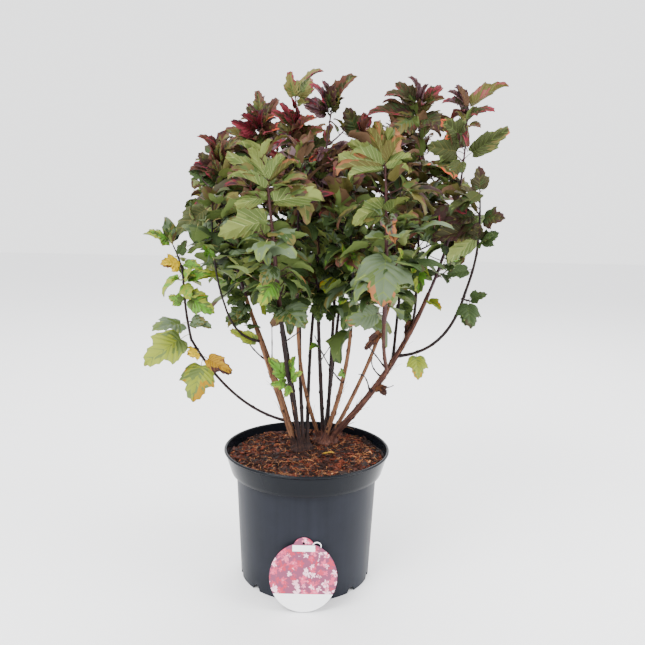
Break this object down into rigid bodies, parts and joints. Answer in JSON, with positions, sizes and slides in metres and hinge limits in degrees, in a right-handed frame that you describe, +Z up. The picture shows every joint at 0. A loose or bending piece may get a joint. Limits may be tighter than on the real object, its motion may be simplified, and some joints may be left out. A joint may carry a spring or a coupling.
{
  "type": "ninebark shrub in a nursery pot",
  "caption": "Multi-stemmed deciduous shrub with lobed green, bronze and red autumn leaves, growing in bark compost in a round black nursery pot with a round picture tag leaning on it.",
  "frame": {"origin": "centre of the pot's flat underside, on the surface it stands on", "axes": "+Z up along the stems, -Y towards the front with the tag, +X to the right seen from the front"},
  "size_m": [0.5724, 0.4773, 0.8329],
  "materials": {
    "pot_plastic": "black injection-moulded plastic, semi-gloss, scuffed",
    "bark_compost": "red-brown bark chips and fibre, moist and rough",
    "tag_card": "printed plastic card, pink blossoms with white bands",
    "tan_bark": "older tan bark, peeling in thin strips",
    "dark_bark": "young purple-brown bark, smooth with pale specks",
    "red_bark": "red-brown bark, lightly ridged",
    "green_leaves": "mid green leaves with paler veins",
    "pale_leaves": "yellow-green leaves and pale undersides",
    "bronze_leaves": "bronze, purple and crimson leaves with orange margins"
  },
  "bodies": {
    "root": {"pot": "pot_plastic", "compost": "bark_compost", "tag": "tag_card", "left_stool": "tan_bark", "right_stool": "tan_bark", "tan_left_stem": "tan_bark", "far_back_left_stem": "tan_bark", "crossing_stem": "tan_bark", "tan_right_stem": "tan_bark", "far_back_right_stem": "tan_bark", "main_right_limb": "red_bark", "front_right_bough": "red_bark", "dark_front_stem": "dark_bark", "back_left_stem": "dark_bark", "upright_left_stem": "dark_bark", "back_stem": "dark_bark", "upright_right_stem": "dark_bark", "inner_right_stem": "dark_bark", "back_right_stem": "dark_bark", "low_left_bough": "dark_bark", "far_left_shoot": "dark_bark", "left_side_bough": "dark_bark", "inner_fork_bough": "dark_bark", "upper_fork_bough": "dark_bark", "far_right_bough": "dark_bark", "far_right_shoot": "dark_bark", "far_left_leaves": "green_leaves", "left_side_leaves": "green_leaves", "back_crown": "green_leaves", "front_crown": "green_leaves", "far_right_leaves": "green_leaves", "low_right_leaves": "green_leaves", "back_right_crown": "green_leaves", "low_front_leaves": "green_leaves", "low_left_leaves": "pale_leaves", "front_left_leader": "pale_leaves", "front_right_leader": "pale_leaves", "left_crown": "bronze_leaves", "back_left_crown": "bronze_leaves", "far_back_left_crown": "bronze_leaves", "front_middle_leaves": "bronze_leaves", "top_left_leader": "bronze_leaves", "top_middle_leader": "bronze_leaves", "inner_right_crown": "bronze_leaves", "right_crown": "bronze_leaves", "top_right_leader": "bronze_leaves", "far_top_right_leader": "bronze_leaves", "far_back_right_crown": "bronze_leaves"}
  },
  "joints": []
}
